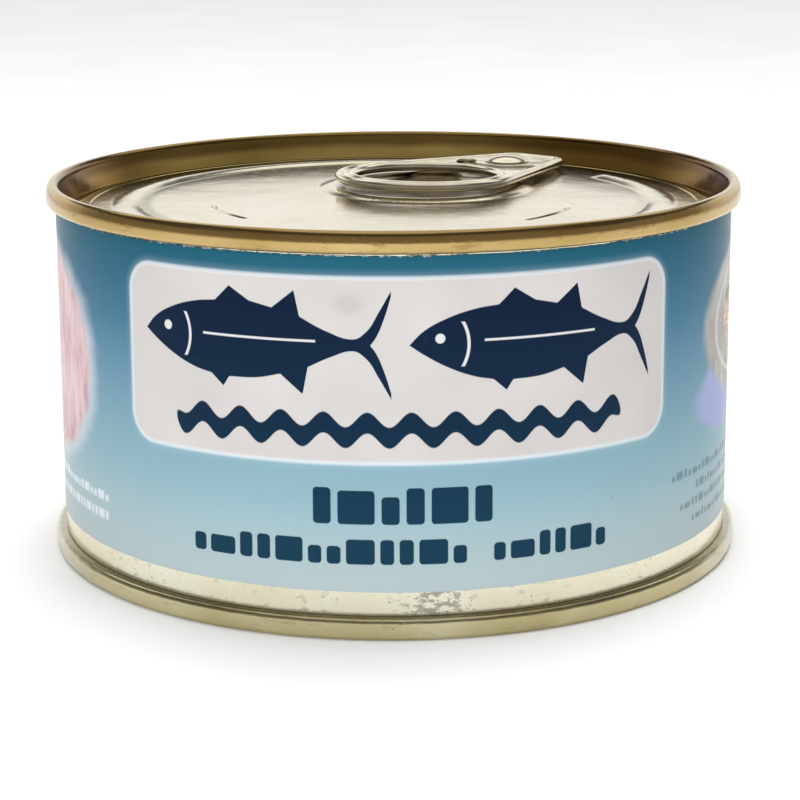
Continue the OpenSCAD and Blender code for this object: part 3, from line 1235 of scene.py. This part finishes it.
def build_stage():
    """A plain pale floor, several metres wide."""
    mesh = bmesh.new()
    bmesh.ops.create_grid(mesh, x_segments=8, y_segments=8, size=4.0)
    mat, g, shader = material("floor_paint")
    point, _ = g.place()
    tone = g.noise(point, 0.02, 2.0)
    g.feed(
        shader.inputs["Base Color"], g.shades(tone, (244, 244, 244), (248, 248, 248))
    )
    shader.inputs["Roughness"].default_value = 0.7
    floor = finish_mesh("floor", mesh, mat)


def build_world():
    """The studio that the steel reflects, and a plain pale backdrop for the camera."""
    world = bpy.data.worlds.new("studio")
    bpy.context.scene.world = world
    world.use_nodes = True
    g = Graph(world.node_tree)
    coords = g.add("ShaderNodeTexCoord")
    split = g.add("ShaderNodeSeparateXYZ")
    g.feed(split.inputs[0], coords.outputs["Generated"])
    side, back, up = (Num(g, out) for out in split.outputs)
    tilt = g.math("ARCSINE", up) * (180.0 / math.pi)
    flat = g.most(g.length(side, back), 0.001)
    behind = g.step(back / flat, 0.35, 0.8)
    ahead = g.step(back / flat, -0.2, -0.8)
    # A pale wall behind, a dark gap over it, then a broad softbox and a dim ceiling.
    wall = g.step(tilt, 24.0, 19.0) * (behind * 0.78 + 0.22)
    box = g.band(tilt, 45.0, 11.0, 3.0) * behind * 1.25
    roof = g.step(tilt, 52.0, 68.0) * 0.75
    room = g.step(tilt, 6.0, 16.0) * g.step(tilt, 40.0, 26.0) * ahead * 0.22
    light = g.most(wall, box, roof, room) + 0.1
    unseen = g.add("ShaderNodeBackground")
    g.feed(unseen.inputs["Strength"], light)
    unseen.inputs["Color"].default_value = rgb(252, 251, 248)
    seen = g.add("ShaderNodeBackground")
    seen.inputs["Color"].default_value = rgb(250, 250, 250)
    path = g.add("ShaderNodeLightPath")
    mix = g.add("ShaderNodeMixShader")
    g.feed(mix.inputs[0], path.outputs["Is Camera Ray"])
    g.feed(mix.inputs[1], unseen.outputs[0])
    g.feed(mix.inputs[2], seen.outputs[0])
    output = g.add("ShaderNodeOutputWorld")
    g.feed(output.inputs["Surface"], mix.outputs[0])


def soft_light(name, place, size, power):
    """A broad lamp aimed at the can, not mirrored in its steel."""
    data = bpy.data.lights.new(name, "AREA")
    data.shape = "RECTANGLE"
    data.size, data.size_y = size
    data.energy = power
    light = bpy.data.objects.new(name, data)
    light.location = place
    aim = Vector((0.0, 0.0, 0.03)) - Vector(place)
    light.rotation_euler = aim.to_track_quat("-Z", "Y").to_euler()
    light.visible_glossy = False
    bpy.context.scene.collection.objects.link(light)


def high_sun(strength):
    """Lights the floor evenly as far as it is seen."""
    data = bpy.data.lights.new("sun", "SUN")
    data.energy = strength
    data.angle = math.radians(60)
    sun = bpy.data.objects.new("sun", data)
    sun.rotation_euler = (math.radians(-8), math.radians(5), 0.0)
    sun.visible_glossy = False
    bpy.context.scene.collection.objects.link(sun)


def build_camera():
    """A long lens that looks slightly down on the front of the can."""
    pitch, yaw, roll = CAMERA_PITCH, CAMERA_YAW, CAMERA_ROLL
    eye = Vector(CAMERA_AT) * MM
    ahead = Vector(
        (
            math.sin(yaw) * math.cos(pitch),
            math.cos(yaw) * math.cos(pitch),
            -math.sin(pitch),
        )
    )
    right = Vector((math.cos(yaw), -math.sin(yaw), 0.0))
    up = right.cross(ahead)
    right_rolled = math.cos(roll) * right + math.sin(roll) * up
    up_rolled = math.cos(roll) * up - math.sin(roll) * right
    turn = Matrix((right_rolled, up_rolled, -ahead)).transposed()
    data = bpy.data.cameras.new("camera")
    data.lens = CAMERA_LENS
    data.sensor_width = 36.0
    data.shift_y = CAMERA_SHIFT
    data.clip_start = 0.01
    data.clip_end = 20.0
    camera = bpy.data.objects.new("camera", data)
    camera.matrix_world = Matrix.Translation(eye) @ turn.to_4x4()
    bpy.context.scene.collection.objects.link(camera)
    bpy.context.scene.camera = camera


build_camera()
build_world()
build_stage()
soft_light("top", (0.05, 0.1, 0.8), (0.6, 0.6), 2.5)
high_sun(1.1)
soft_light("front", (-0.15, -0.8, 0.45), (0.7, 0.5), 5.0)
bpy.context.scene.view_settings.view_transform = "Standard"

repaint("can_body", body_lacquer())
base_steel = end_lacquer()
lid_steel = lid_lacquer()
base_end = build_base_end()
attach(base_end, "root")
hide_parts("bottom_end")
for pressed in (build_lid_seam(), build_lid_panel(), build_rivet()):
    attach(pressed, "root")
    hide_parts("lid")

label = build_label()
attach(label, "root")
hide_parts("paper_label")

tab = build_tab()
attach(tab, "root")
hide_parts("pull_tab")
